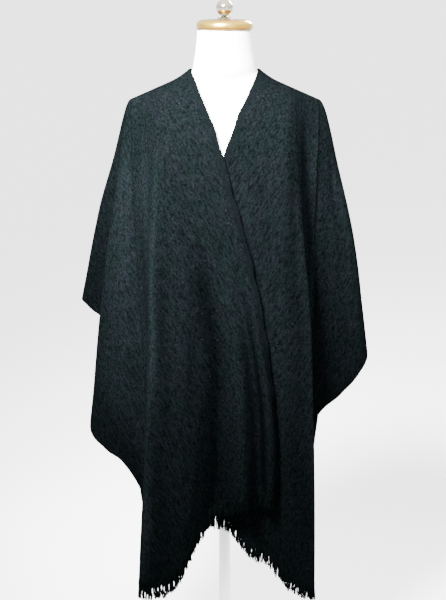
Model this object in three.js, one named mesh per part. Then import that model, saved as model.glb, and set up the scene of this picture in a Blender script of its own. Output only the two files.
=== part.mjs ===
import * as THREE from 'three';

// A ruana: an open woollen wrap of two woven lengths, joined down the back and fringed at the four
// short ends, lying over a limbless dress form on a pole. Millimetres, Z up, the front faces -Y and
// the wearer's right is at -X. The origin is the middle of the underside of the stand.

// Cloth
const clothWall = 2.4;
const seamGap = 0.3;
const stations = 17;
const columnsPerFold = 2;

// Shoulder line on which both lengths lie
const neckHalf = 69.5;
const neckHeight = 1380;
const tipHalf = 190.5;
const tipHeight = 1327;

// How the cloth leaves the shoulder line: share of a line's length in which it turns down
const crestFront = 0.035;
const crestBack = 0.09;
const chestReach = 0.1;
const bladeReach = 0.06;
const chestOut = 112;
const bladeOut = 85;
const shoulderEnd = 34;

// Fringe
const bandGap = 0.6;
const bandHeight = 4;
const strandLength = 37;
const strandWidth = 2.6;
const strandTaper = 0.5;
const strandPitch = 12;

// Stand
const baseRadius = 175;
const baseHeight = 16;
const poleRadius = 12;
const formFoot = 772;
const neckTop = 1467;

const clothColour = 0x1d2226;
const formColour = 0xf1eeea;
const brassColour = 0xb98a3c;
const standColour = 0xf4f4f2;

// Fold lines of the cloth. Each line leaves the shoulder line at top (0 at the neck, 1 at the
// shoulder tip) and ends at its foot x, y, z. bow carries its middle sideways, start is the share
// of its length above which its own fold is not yet there.
const frontNames = ['name', 'top', 'x', 'y', 'z', 'bow', 'start'];
const rightFront = [
  ['front_edge', 0, 110, -158, 540, 45, 0.05],
  ['edge_ridge', 0.08, 94, -174, 534, 44, 0.45],
  ['inner_valley', 0.16, 71, -142, 528, 43, 0.45],
  ['middle_ridge', 0.25, 36, -180, 526, 42, 0.4],
  ['deep_valley', 0.34, -20, -131, 498, 40, 0.4],
  ['plane_inner', 0.43, -62, -168, 442, 26, 0.35],
  ['plane_middle', 0.52, -107, -192, 363, 13, 0.2],
  ['front_ridge', 0.62, -177, -202, 354, 8, 0.1],
  ['return_valley', 0.8, -150, -112, 356, 0, 0.1],
];
const leftFront = [
  ['under_edge', 0, -52, -106, 470, -77, 0.3],
  ['under_ridge', 0.08, -20, -113, 472, -66, 0.5],
  ['under_valley', 0.16, 12, -107, 460, -52, 0.5],
  ['hem_ridge', 0.25, 52, -128, 412, -34, 0.5],
  ['hem_valley', 0.34, 90, -120, 392, -18, 0.45],
  ['lap_ridge', 0.43, 126, -152, 358, -6, 0.3],
  ['lap_plane', 0.52, 156, -180, 350, 3, 0.2],
  ['front_ridge', 0.62, 186, -202, 352, 11, 0.1],
  ['return_valley', 0.8, 158, -112, 354, 0, 0.1],
];

// Side lines all leave the shoulder tip and end on the selvedge.
const sideNames = ['name', 'x', 'y', 'z', 'bow', 'start'];
const rightSide = [
  ['corner', -150, -84, 364, -2, 0.15],
  ['selvedge_rise', -172, -64, 485, -5, 0.15],
  ['selvedge_low', -214, -54, 560, -8, 0.15],
  ['selvedge_mid', -254, -42, 588, -11, 0.15],
  ['side_ridge', -289, -22, 632, -14, 0.15],
  ['side_turn', -262, 14, 730, -14, 0.15],
  ['side_valley', -230, 36, 820, -12, 0.15],
  ['shoulder_near', -291, 56, 875, -14, 0.15],
  ['shoulder_ridge', -309, 72, 892, -15, 0.15],
  ['shoulder_turn', -276, 100, 872, -14, 0.15],
  ['rear_valley', -232, 96, 800, -11, 0.15],
  ['rear_ridge', -230, 144, 680, -8, 0.15],
  ['rear_turn', -206, 152, 540, -5, 0.15],
  ['rear_corner', -180, 108, 376, -2, 0.15],
];
const leftSide = [
  ['corner', 160, -84, 362, 2, 0.15],
  ['selvedge_rise', 172, -66, 520, 5, 0.15],
  ['selvedge_low', 192, -58, 656, 9, 0.15],
  ['selvedge_mid', 244, -38, 706, 14, 0.15],
  ['selvedge_high', 284, -18, 744, 20, 0.15],
  ['side_ridge', 306, 6, 790, 23, 0.15],
  ['side_turn', 272, 36, 850, 18, 0.15],
  ['side_valley', 224, 52, 880, 14, 0.15],
  ['shoulder_ridge', 266, 88, 880, 14, 0.15],
  ['shoulder_turn', 254, 112, 856, 12, 0.15],
  ['rear_valley', 230, 104, 788, 10, 0.15],
  ['rear_ridge', 218, 152, 660, 8, 0.15],
  ['rear_turn', 203, 152, 540, 5, 0.15],
  ['rear_corner', 180, 108, 376, 2, 0.15],
];

// Back lines, listed from the side to the centre seam and written for the wearer's left. reach is
// the share of the length in which a line has moved from the shoulder line to its foot's x.
const backNames = ['name', 'top', 'x', 'y', 'z', 'reach', 'start'];
const backFolds = [
  ['back_return', 0.8, 150, 142, 366, 1, 0.1],
  ['back_ridge', 0.62, 174, 204, 362, 1, 0.1],
  ['back_plane', 0.52, 140, 192, 368, 1, 0.2],
  ['back_valley', 0.43, 112, 160, 376, 0.9, 0.3],
  ['back_fold', 0.34, 84, 198, 384, 0.8, 0.3],
  ['back_hollow', 0.25, 60, 168, 392, 0.7, 0.35],
  ['back_middle', 0.16, 40, 194, 398, 0.55, 0.35],
  ['back_inner', 0.08, 20, 180, 402, 0.36, 0.4],
  ['centre_back', 0, 0.15, 186, 406, 0.1, 0.4],
];

// Horizontal sections of the form: height, half width, depth to the front and to the back, and
// how much narrower than an oval they run out at the sides.
const formNames = ['z', 'half', 'front', 'back', 'taper'];
const formSections = [
  [772, 150, 86, 92, 0],
  [790, 156, 95, 102, 0],
  [830, 157, 98, 107, 0],
  [880, 146, 95, 100, 0],
  [940, 126, 87, 82, 0],
  [1000, 118, 85, 74, 0],
  [1070, 130, 94, 78, 0],
  [1140, 146, 102, 84, 0],
  [1200, 150, 100, 88, 0],
  [1250, 153, 90, 87, 0],
  [1285, 161, 76, 80, 0.1],
  [1306, 166, 64, 70, 0.2],
  [1320, 168, 54, 60, 0.3],
  [1330, 164, 50, 55, 0.4],
  [1345, 146.2, 48, 54, 0.5],
  [1362, 109.3, 48, 54, 0.6],
  [1372, 85.4, 50, 54, 0.7],
  [1379.4, 67.8, 54, 57, 0.4],
  [1388, 66, 55, 58, 0],
  [1410, 62, 53, 58, 0],
  [1440, 57.5, 53, 56, 0],
  [1467, 56, 54, 55, 0],
];

function named(rows, names) {
  return rows.map((row) => Object.fromEntries(names.map((key, index) => [key, row[index]])));
}

function smooth(value) {
  const held = Math.min(1, Math.max(0, value));
  return held * held * (3 - 2 * held);
}

// Share of a line's drop reached at t, level where it leaves the shoulder line.
function drop(t, crest) {
  return (t - crest * (1 - Math.exp(-t / crest))) / (1 - crest * (1 - Math.exp(-1 / crest)));
}

// Feet averaged over their neighbours, for the upper cloth where folds have not yet formed.
function softened(lines) {
  const weights = [1, 3, 4, 3, 1];
  return lines.map((line, index) => {
    const sum = { x: 0, y: 0, z: 0, bow: 0, weight: 0 };
    weights.forEach((weight, offset) => {
      const at = Math.min(lines.length - 1, Math.max(0, index + offset - 2));
      sum.x += weight * lines[at].x;
      sum.y += weight * lines[at].y;
      sum.z += weight * lines[at].z;
      sum.bow += weight * lines[at].bow;
      sum.weight += weight;
    });
    const share = 1 / sum.weight;
    return { x: sum.x * share, y: sum.y * share, z: sum.z * share, bow: sum.bow * share };
  });
}

// Every fold line of one length, from its front edge round the side to the centre back.
function foldLines(front, side, hand) {
  const lines = [];
  named(front, frontNames).forEach((row) => lines.push({ ...row, panel: 'front' }));
  named(side, sideNames).forEach((row, index) => {
    const spread = shoulderEnd * ((2 * index) / (side.length - 1) - 1);
    lines.push({ ...row, panel: 'side', top: 1, spread });
  });
  named(backFolds, backNames).forEach((row) => {
    lines.push({ ...row, x: row.x * hand, panel: 'back', bow: 0 });
  });
  const soft = softened(lines);
  return lines.map((line, index) => {
    const edge = line.name === 'front_edge' || line.name === 'under_edge' || line.top === 0;
    return { ...line, soft: edge ? line : soft[index], hand };
  });
}

function lineTop(line) {
  const x = line.hand * (neckHalf + (tipHalf - neckHalf) * line.top);
  return new THREE.Vector3(x, 0, neckHeight + (tipHeight - neckHeight) * line.top);
}

// How far one fold line has gone from its top at the share t of its length.
function lineRun(line, t) {
  const ripe = smooth((t - line.start) / 0.4);
  const foot = {
    x: line.soft.x + (line.x - line.soft.x) * ripe,
    y: line.soft.y + (line.y - line.soft.y) * ripe,
    z: line.soft.z + (line.z - line.soft.z) * ripe,
  };
  const top = lineTop(line);
  const held = 1 - smooth((line.top - 0.45) / 0.55);
  if (line.panel === 'back') {
    const fall = drop(t, crestFront + (crestBack - crestFront) * held * held);
    const reach = chestReach + (bladeReach - chestReach) * held * held;
    const out = (shoulderEnd + (bladeOut - shoulderEnd) * held) * (1 - t) * (1 - Math.exp(-t / reach));
    const across = line.reach < 1 ? smooth(t / line.reach) : fall;
    return new THREE.Vector3((foot.x - top.x) * across, foot.y * t + out, (foot.z - top.z) * fall);
  }
  const fall = drop(t, crestFront);
  const rounded = (1 - t) * (1 - Math.exp(-t / chestReach));
  if (line.panel === 'side') {
    const root = Math.sqrt(fall);
    const bow = line.soft.bow + (line.bow - line.soft.bow) * ripe;
    const x = (foot.x - top.x) * fall + 4 * bow * root * (1 - root);
    return new THREE.Vector3(x, foot.y * t + line.spread * rounded, (foot.z - top.z) * fall);
  }
  const x = (foot.x - top.x) * fall + 4 * line.bow * fall * (1 - fall);
  const y = foot.y * t - (shoulderEnd + (chestOut - shoulderEnd) * held) * rounded;
  return new THREE.Vector3(x, y, (foot.z - top.z) * fall);
}

// The runs of the fold lines at one station, smoothly joined.
function between(points, place) {
  const index = Math.min(points.length - 2, Math.floor(place));
  const share = place - index;
  const b = points[index];
  const c = points[index + 1];
  const a = index > 0 ? points[index - 1] : b.clone().multiplyScalar(2).sub(c);
  const last = points.length - 1;
  const d = index + 2 <= last ? points[index + 2] : c.clone().multiplyScalar(2).sub(b);
  const square = share * share;
  const cube = square * share;
  return new THREE.Vector3()
    .addScaledVector(a, 0.5 * (-cube + 2 * square - share))
    .addScaledVector(b, 0.5 * (3 * cube - 5 * square + 2))
    .addScaledVector(c, 0.5 * (-3 * cube + 4 * square + share))
    .addScaledVector(d, 0.5 * (cube - square));
}

// Rows of points of one length, each row at one station down the fold lines.
function clothGrid(lines) {
  const columns = (lines.length - 1) * columnsPerFold;
  const tops = [];
  for (let column = 0; column <= columns; column += 1) {
    const index = Math.min(lines.length - 2, Math.floor(column / columnsPerFold));
    const from = lineTop(lines[index]);
    tops.push(from.lerp(lineTop(lines[index + 1]), column / columnsPerFold - index));
  }
  const rows = [];
  for (let station = 0; station <= stations; station += 1) {
    const t = Math.pow(station / stations, 1.35);
    const runs = lines.map((line) => lineRun(line, t));
    rows.push(tops.map((top, column) => between(runs, column / columnsPerFold).add(top)));
  }
  return rows;
}

// One closed wall from rows of points: the rows are its inner face, its outer face lies out along
// the mean normals, and points that meet are one. The wall is half as thick along the shoulder
// line, and cut off level where a fringe hangs from it.
function wallGeometry(rows, wall, flip, frontHem, backHem) {
  const points = [];
  const walls = [];
  const numbers = new Map();
  const number = (point, station) => {
    const key = [point.x, point.y, point.z].map((value) => Math.round(value * 200)).join(' ');
    if (!numbers.has(key)) {
      numbers.set(key, points.length);
      points.push(point);
      walls.push(wall * (0.5 + 0.5 * smooth((station - 1) / 3)));
    }
    return numbers.get(key);
  };
  const grid = rows.map((row, station) => row.map((point) => number(point, station)));
  const faces = [];
  const add = (a, b, c) => {
    if (a !== b && b !== c && c !== a) {
      faces.push(flip ? [a, c, b] : [a, b, c]);
    }
  };
  for (let row = 0; row + 1 < grid.length; row += 1) {
    for (let column = 0; column + 1 < grid[row].length; column += 1) {
      const a = grid[row][column];
      const b = grid[row][column + 1];
      const c = grid[row + 1][column + 1];
      const d = grid[row + 1][column];
      if (points[a].distanceTo(points[c]) < points[b].distanceTo(points[d])) {
        add(a, b, c);
        add(a, c, d);
      } else {
        add(a, b, d);
        add(b, c, d);
      }
    }
  }
  const normals = points.map(() => new THREE.Vector3());
  faces.forEach((face) => {
    face.forEach((corner, index) => {
      const here = points[corner];
      const next = points[face[(index + 1) % 3]].clone().sub(here);
      const last = points[face[(index + 2) % 3]].clone().sub(here);
      const normal = next.clone().cross(last).normalize();
      normals[corner].addScaledVector(normal, next.angleTo(last));
    });
  });
  grid[grid.length - 1].forEach((index, column, rim) => {
    if (column < frontHem || column >= rim.length - backHem) {
      normals[index].setZ(0);
    }
  });
  const count = points.length;
  const outer = points.map((point, index) => {
    return point.clone().addScaledVector(normals[index].normalize(), walls[index]);
  });
  const edges = new Map();
  faces.forEach(([a, b, c]) => {
    [[a, b], [b, c], [c, a]].forEach(([from, to]) => edges.set(`${from} ${to}`, [from, to]));
  });
  const solid = [];
  faces.forEach(([a, b, c]) => {
    solid.push(a + count, b + count, c + count);
    solid.push(a, c, b);
  });
  edges.forEach(([from, to]) => {
    if (!edges.has(`${to} ${from}`)) {
      solid.push(from, to, to + count);
      solid.push(from, to + count, from + count);
    }
  });
  const geometry = new THREE.BufferGeometry();
  const places = [...points, ...outer].flatMap((point) => [point.x, point.y, point.z]);
  geometry.setAttribute('position', new THREE.Float32BufferAttribute(places, 3));
  geometry.setIndex(solid);
  const rim = grid[grid.length - 1].map((index) => ({ inner: points[index], outer: outer[index] }));
  return { geometry, rim };
}

// Places along one hem at which its fringe changes: the rim's own points, and both sides of each
// strand. No strand lies across a point of the rim.
function fringeColumns(rim) {
  const columns = [{ ...rim[0], strand: false }];
  for (let index = 0; index + 1 < rim.length; index += 1) {
    const from = rim[index];
    const to = rim[index + 1];
    const length = Math.hypot(to.inner.x - from.inner.x, to.inner.y - from.inner.y);
    const count = Math.round(length / strandPitch);
    const at = (share, strand) => {
      const inner = from.inner.clone().lerp(to.inner, share);
      columns.push({ inner, outer: from.outer.clone().lerp(to.outer, share), strand });
    };
    for (let strand = 0; strand < count; strand += 1) {
      at((strand + 0.5) / count - strandWidth / 2 / length, true);
      at((strand + 0.5) / count + strandWidth / 2 / length, false);
    }
    columns.push({ ...to, strand: false });
  }
  return columns;
}

// A narrow band below one hem, with the plan of the hem's rim, and its strands, in one solid.
function fringeGeometry(rim, flip) {
  const columns = fringeColumns(rim);
  const points = [];
  const index = [];
  const quad = (a, b, c, d) => {
    index.push(...(flip ? [a, c, b, a, d, c] : [a, b, c, a, c, d]));
  };
  columns.forEach(({ inner, outer }) => {
    const low = bandGap + bandHeight;
    points.push([inner.x, inner.y, inner.z - bandGap], [outer.x, outer.y, outer.z - bandGap]);
    points.push([outer.x, outer.y, outer.z - low], [inner.x, inner.y, inner.z - low]);
  });
  const last = (columns.length - 1) * 4;
  quad(0, 1, 2, 3);
  quad(last + 3, last + 2, last + 1, last);
  for (let column = 0; column + 1 < columns.length; column += 1) {
    const here = column * 4;
    const next = here + 4;
    quad(here, next, next + 1, here + 1);
    quad(here + 1, next + 1, next + 2, here + 2);
    quad(here + 3, next + 3, next, here);
    if (!columns[column].strand) {
      quad(here + 2, next + 2, next + 3, here + 3);
      continue;
    }
    const roots = [here + 2, next + 2, next + 3, here + 3];
    const middle = [0, 1, 2].map((axis) => roots.reduce((sum, root) => sum + points[root][axis], 0) / 4);
    const beat = column * 1.7;
    const long = strandLength * (0.93 + 0.09 * Math.sin(beat));
    const tip = points.length;
    roots.forEach((root) => {
      const x = middle[0] + (points[root][0] - middle[0]) * strandTaper + 1.6 * Math.sin(beat * 2);
      const y = middle[1] + (points[root][1] - middle[1]) * strandTaper + 1.2 * Math.cos(beat * 3);
      points.push([x, y, middle[2] - long]);
    });
    roots.forEach((root, side) => {
      const turn = (side + 1) % 4;
      quad(root, roots[turn], tip + turn, tip + side);
    });
    quad(tip, tip + 1, tip + 2, tip + 3);
  }
  const geometry = new THREE.BufferGeometry();
  geometry.setAttribute('position', new THREE.Float32BufferAttribute(points.flat(), 3));
  geometry.setIndex(index);
  return geometry;
}

// A closed loft through level sections given by half width and two depths.
function loftGeometry(sections, around) {
  const points = [];
  sections.forEach((section) => {
    for (let step = 0; step < around; step += 1) {
      const angle = (step * 2 * Math.PI) / around;
      const depth = Math.sin(angle) < 0 ? section.front : section.back;
      const thinned = Math.pow(Math.abs(Math.sin(angle)), section.taper) * Math.sin(angle);
      points.push(section.half * Math.cos(angle), depth * thinned, section.z);
    }
  });
  const index = [];
  for (let ring = 0; ring + 1 < sections.length; ring += 1) {
    for (let step = 0; step < around; step += 1) {
      const next = (step + 1) % around;
      const low = ring * around;
      const high = low + around;
      index.push(low + step, low + next, high + next);
      index.push(low + step, high + next, high + step);
    }
  }
  const bottom = points.length / 3;
  points.push(0, 0, sections[0].z);
  const top = bottom + 1;
  points.push(0, 0, sections[sections.length - 1].z);
  const last = (sections.length - 1) * around;
  for (let step = 0; step < around; step += 1) {
    const next = (step + 1) % around;
    index.push(bottom, next, step);
    index.push(top, last + step, last + next);
  }
  const geometry = new THREE.BufferGeometry();
  geometry.setAttribute('position', new THREE.Float32BufferAttribute(points, 3));
  geometry.setIndex(index);
  return geometry;
}

// A turned solid standing on +Z from radius and height pairs that start and end on the axis.
function turned(profile, steps) {
  const points = profile.map(([radius, height]) => new THREE.Vector2(radius, height));
  return new THREE.LatheGeometry(points, steps).rotateX(Math.PI / 2);
}

function material(colour, roughness, metalness) {
  return new THREE.MeshStandardMaterial({ color: colour, roughness, metalness });
}

const cloth = material(clothColour, 0.95, 0);
const cover = material(formColour, 0.8, 0);
const brass = material(brassColour, 0.28, 1);
const paint = material(standColour, 0.45, 0);

const garment = new THREE.Group();
const form = new THREE.Group();

function place(group, name, geometry, skin) {
  const mesh = new THREE.Mesh(geometry, skin);
  mesh.name = name;
  group.add(mesh);
}

// The front and back lines end in a fringed hem, the side lines in a plain selvedge.
const frontHem = rightFront.length * columnsPerFold;
const backHem = backFolds.length * columnsPerFold;
const rightRows = clothGrid(foldLines(rightFront, rightSide, -1));
const leftRows = clothGrid(foldLines(leftFront, leftSide, 1));
const rightWall = wallGeometry(rightRows, clothWall, false, frontHem, backHem);
const leftWall = wallGeometry(leftRows, clothWall, true, frontHem, backHem);
place(garment, 'ruana_right_half', rightWall.geometry, cloth);
place(garment, 'ruana_left_half', leftWall.geometry, cloth);

place(garment, 'fringe_front_right', fringeGeometry(rightWall.rim.slice(0, frontHem), false), cloth);
place(garment, 'fringe_back_right', fringeGeometry(rightWall.rim.slice(-backHem), false), cloth);
place(garment, 'fringe_front_left', fringeGeometry(leftWall.rim.slice(0, frontHem), true), cloth);
place(garment, 'fringe_back_left', fringeGeometry(leftWall.rim.slice(-backHem), true), cloth);

place(form, 'form_torso', loftGeometry(named(formSections, formNames), 32), cover);

const capSeat = neckTop + seamGap;
const capHeight = 21;
const capProfile = [
  [0, 0],
  [55.5, 0],
  [57.5, 2],
  [57.5, 8],
  [55.5, 13.5],
  [51, 17.5],
  [42, 19.6],
  [0, capHeight],
];
place(form, 'neck_cap', turned(capProfile, 32).translate(0, 0, capSeat), brass);

const knobSeat = capSeat + capHeight + seamGap;
const ballRadius = 17;
const stemHeight = 6;
const knobProfile = [[0, 0], [15.5, 0], [14, 1.8], [8, 3.4], [5.2, stemHeight]];
for (let step = 2; step <= 11; step += 1) {
  const angle = (step / 12) * Math.PI;
  const radius = ballRadius * Math.sin(angle);
  knobProfile.push([radius, stemHeight + ballRadius * (0.9 - Math.cos(angle))]);
}
knobProfile.push([0, stemHeight + ballRadius * 1.9]);
place(form, 'cap_knob', turned(knobProfile, 16).translate(0, 0, knobSeat), brass);

const collarProfile = [[0, 0], [20, 0], [24, 4], [24, 20], [34, 26], [34, 30], [0, 30]];
const collarSeat = formFoot - seamGap - 30;
place(form, 'form_collar', turned(collarProfile, 24).translate(0, 0, collarSeat), paint);

const poleFoot = baseHeight + seamGap;
const poleProfile = [
  [0, poleFoot],
  [30, poleFoot],
  [30, poleFoot + 6],
  [16, poleFoot + 14],
  [poleRadius, poleFoot + 24],
  [poleRadius, collarSeat - seamGap],
  [0, collarSeat - seamGap],
];
place(form, 'stand_pole', turned(poleProfile, 24), paint);

const baseProfile = [
  [0, 0],
  [baseRadius - 2, 0],
  [baseRadius, 2],
  [baseRadius, baseHeight - 5],
  [baseRadius - 5, baseHeight],
  [0, baseHeight],
];
place(form, 'stand_base', turned(baseProfile, 48), paint);

const group = new THREE.Group();
group.add(garment, form);
export default group;
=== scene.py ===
import math
import random

import bpy
import numpy as np
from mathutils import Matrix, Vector


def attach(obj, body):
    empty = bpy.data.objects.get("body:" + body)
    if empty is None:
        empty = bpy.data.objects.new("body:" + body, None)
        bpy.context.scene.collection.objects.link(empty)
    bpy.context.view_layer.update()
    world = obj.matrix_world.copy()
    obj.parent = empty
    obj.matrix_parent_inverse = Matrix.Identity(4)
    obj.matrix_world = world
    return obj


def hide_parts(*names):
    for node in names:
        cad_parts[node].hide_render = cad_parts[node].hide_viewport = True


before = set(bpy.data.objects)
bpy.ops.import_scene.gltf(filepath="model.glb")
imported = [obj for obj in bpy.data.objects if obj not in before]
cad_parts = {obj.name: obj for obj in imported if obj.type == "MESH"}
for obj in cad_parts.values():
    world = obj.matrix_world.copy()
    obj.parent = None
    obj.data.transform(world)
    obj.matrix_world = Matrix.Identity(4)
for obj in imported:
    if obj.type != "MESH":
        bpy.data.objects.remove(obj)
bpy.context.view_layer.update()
mm = 0.001

# Lengths are in millimetres, and shares run from 0 to 1 down a fold line or across the shoulder.
# The two woven halves lie on the shoulder line, from the neck to the tip of the shoulder.
neck_half, neck_height = 69.5, 1380.0
tip_half, tip_height = 190.5, 1327.0

# The hang: share in which a fold line turns down from the crest, share in which chest and blades
# push it out, how far they do, and where that push starts to fade across the shoulder.
crest_front, crest_back = 0.035, 0.09
chest_reach, blade_reach = 0.1, 0.06
chest_out, blade_out, shoulder_end = 112.0, 85.0, 34.0
chest_across, chest_fade = 0.45, 0.55

# A fold line keeps to its softened foot down to its start, and is ripe this share further down. The
# side folds all start at the same share.
fold_ripening = 0.4
side_start = 0.15

# The grid of each half: rows stand closer together near the shoulder.
rows_down = 112
row_crowding = 1.25
columns_per_fold = 7

# The wall: its middle's lift off the fold lines on the shoulder and below it, the share below which
# the creases are not there and the share in which they grow, and the furrow along the back seam.
cloth_thick = 1.9
shoulder_lift, hang_lift = 0.3, 0.9
crease_from, crease_growth = 0.03, 0.08
seam_furrow = (0.3, 0.8, 1.3)

# The front edge gives way beside the neck, waves a little and is tucked back on the over panel, and
# the cloth stands up against the neck: each with the share, the fold lines or the width in which it
# fades. A wave is its height, rate and start.
neck_ease, ease_down, ease_lines = 6.5, 0.3, 1.6
edge_waves, waves_from = ((0.9, 61, 1), (0.6, 103, 2)), 0.04
edge_tuck, tuck_down, tuck_lines = 5.0, 0.25, 1.4
neck_stand, stand_down, stand_across = 9.0, 0.05, 42.0

# Painted shade darkens the wool towards the hem: over how many metres, by how much; and the limits
# of the painted tones.
painted_hem_shade_over, painted_hem_shade = 0.42, 0.42
painted_tone_limits = (0.35, 2.1)

# The fringe: its small locks, with the least and most strands, middle off its place in strands,
# length and swing of each.
lock_strands = (7, 15)
lock_middle = (-2.5, 2.5)
lock_length = (36, 41)
lock_swing = (-2.5, 2.5)

# The strands in a lock: pitch, then the least and most each may be off its place, share of the
# lock's length, pull towards the lock's middle, lean, swing, wave and thickness of its own; last the
# height of its top over the hem, and the turn from one ring of its points to the next.
strand_pitch = 0.92
strand_place = (-0.3, 0.3)
strand_length = (0.88, 1.0)
strand_pull = (0.0, 0.5)
strand_lean = (-2.2, 2.2)
strand_swing = (-1.5, 1.5)
strand_wave = (0.8, 2.4)
strand_thick = (0.9, 1.15)
strand_top = 1.2
strand_twist = 0.28

# The loose hairs on each half: how many, radius, height of the root over the wall's middle, rows
# left bare on the shoulder, lean and how far one strays from it, then least and most length, lift
# and bend.
loose_hairs = 13000
hair_radius = 0.17
hair_root = 0.7
bare_rows = 3
hair_lean, hair_stray = 0.47, 0.5
hair_length = (5, 13)
hair_lift = (0.6, 2.4)
hair_bend = (-2.0, 2.0)

# The lean of the combed nap in the wool itself.
comb_lean = math.radians(27)

# The stitches of the back seam: their pitch, their distance from each end and from the seam, how
# far the thread stands off, its radii from one end of a stitch to the other, and the rows of the
# grid above the seam.
stitch, seam_end, stitch_reach = 4.5, 6.0, 2.6
thread_rise = 0.6
thread_radii = (0.4, 0.5, 0.5, 0.4)
rows_above_seam = 19

# The form's cover lies this far inside the sections, clear of the cloth.
cover_inset = 0.6

# Seeds of the random draws for the front fringe, the back fringe and the loose hairs.
front_seed, back_seed, hair_seed = 11, 21, 31

# Fold lines from the front edge round the side to the centre back: name, place of the top on the
# shoulder line, foot x, y, z, sideways bow, share of the length above which the fold is not there.
right_front = [
    ("front_edge", 0, 110, -158, 540, 45, 0.05),
    ("edge_ridge", 0.08, 94, -174, 534, 44, 0.45),
    ("inner_valley", 0.16, 71, -142, 528, 43, 0.45),
    ("middle_ridge", 0.25, 36, -180, 526, 42, 0.4),
    ("deep_valley", 0.34, -20, -131, 498, 40, 0.4),
    ("plane_inner", 0.43, -62, -168, 442, 26, 0.35),
    ("plane_middle", 0.52, -107, -192, 363, 13, 0.2),
    ("front_ridge", 0.62, -177, -202, 354, 8, 0.1),
    ("return_valley", 0.8, -150, -112, 356, 0, 0.1),
]
left_front = [
    ("under_edge", 0, -52, -106, 470, -77, 0.3),
    ("under_ridge", 0.08, -20, -113, 472, -66, 0.5),
    ("under_valley", 0.16, 12, -107, 460, -52, 0.5),
    ("hem_ridge", 0.25, 52, -128, 412, -34, 0.5),
    ("hem_valley", 0.34, 90, -120, 392, -18, 0.45),
    ("lap_ridge", 0.43, 126, -152, 358, -6, 0.3),
    ("lap_plane", 0.52, 156, -180, 350, 3, 0.2),
    ("front_ridge", 0.62, 186, -202, 352, 11, 0.1),
    ("return_valley", 0.8, 158, -112, 354, 0, 0.1),
]
right_side = [
    ("corner", -150, -84, 364, -2),
    ("selvedge_rise", -172, -64, 485, -5),
    ("selvedge_low", -214, -54, 560, -8),
    ("selvedge_mid", -254, -42, 588, -11),
    ("side_ridge", -289, -22, 632, -14),
    ("side_turn", -262, 14, 730, -14),
    ("side_valley", -230, 36, 820, -12),
    ("shoulder_near", -291, 56, 875, -14),
    ("shoulder_ridge", -309, 72, 892, -15),
    ("shoulder_turn", -276, 100, 872, -14),
    ("rear_valley", -232, 96, 800, -11),
    ("rear_ridge", -230, 144, 680, -8),
    ("rear_turn", -206, 152, 540, -5),
    ("rear_corner", -180, 108, 376, -2),
]
left_side = [
    ("corner", 160, -84, 362, 2),
    ("selvedge_rise", 172, -66, 520, 5),
    ("selvedge_low", 192, -58, 656, 9),
    ("selvedge_mid", 244, -38, 706, 14),
    ("selvedge_high", 284, -18, 744, 20),
    ("side_ridge", 306, 6, 790, 23),
    ("side_turn", 272, 36, 850, 18),
    ("side_valley", 224, 52, 880, 14),
    ("shoulder_ridge", 266, 88, 880, 14),
    ("shoulder_turn", 254, 112, 856, 12),
    ("rear_valley", 230, 104, 788, 10),
    ("rear_ridge", 218, 152, 660, 8),
    ("rear_turn", 203, 152, 540, 5),
    ("rear_corner", 180, 108, 376, 2),
]
# Back lines carry, instead of a bow, the share of the length in which they reach their foot's x.
back_folds = [
    ("back_return", 0.8, 150, 142, 366, 1, 0.1),
    ("back_ridge", 0.62, 174, 204, 362, 1, 0.1),
    ("back_plane", 0.52, 140, 192, 368, 1, 0.2),
    ("back_valley", 0.43, 112, 160, 376, 0.9, 0.3),
    ("back_fold", 0.34, 84, 198, 384, 0.8, 0.3),
    ("back_hollow", 0.25, 60, 168, 392, 0.7, 0.35),
    ("back_middle", 0.16, 40, 194, 398, 0.55, 0.35),
    ("back_inner", 0.08, 20, 180, 402, 0.36, 0.4),
    ("centre_back", 0, 0.15, 186, 406, 0.1, 0.4),
]

# Soft creases that break up the main folds: fold line each one starts and ends on, share of the
# length where it starts and ends, half width in fold lines, height in millimetres.
right_creases = [
    (1.5, 3.2, 0.16, 0.46, 0.45, 1.6),
    (3.0, 3.6, 0.22, 0.62, 0.5, -2.0),
    (4.6, 4.9, 0.12, 0.7, 0.4, 1.8),
    (5.4, 5.2, 0.3, 0.98, 0.35, -2.4),
    (5.9, 6.1, 0.1, 0.6, 0.3, 1.9),
    (7.0, 7.0, 0.16, 0.98, 0.14, 4.2),
    (6.6, 6.6, 0.3, 0.98, 0.25, -2.2),
    (4.0, 4.0, 0.4, 0.98, 0.45, -11.0),
    (3.0, 3.0, 0.45, 0.98, 0.35, 4.5),
    (4.9, 5.0, 0.45, 0.98, 0.35, 3.0),
    (2.2, 2.6, 0.6, 0.98, 0.35, 1.6),
    (0.95, 0.95, 0.3, 0.98, 0.75, -5.5),
    (8.6, 8.4, 0.2, 0.8, 0.4, 2.0),
    (10.4, 11.2, 0.2, 0.95, 0.6, -6.0),
    (12.2, 12.6, 0.35, 0.98, 0.5, 3.2),
    (14.4, 14.1, 0.3, 0.9, 0.45, -2.6),
    (16.5, 16.2, 0.25, 0.98, 0.4, 2.6),
    (18.3, 18.6, 0.3, 0.95, 0.5, -2.4),
    (20.5, 20.2, 0.35, 0.95, 0.5, 2.0),
    (24.4, 24.7, 0.14, 0.66, 0.4, -2.0),
    (26.5, 26.2, 0.3, 0.95, 0.35, 1.8),
    (28.4, 28.8, 0.18, 0.72, 0.4, -1.8),
    (30.2, 29.8, 0.4, 0.97, 0.35, 1.6),
]
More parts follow.
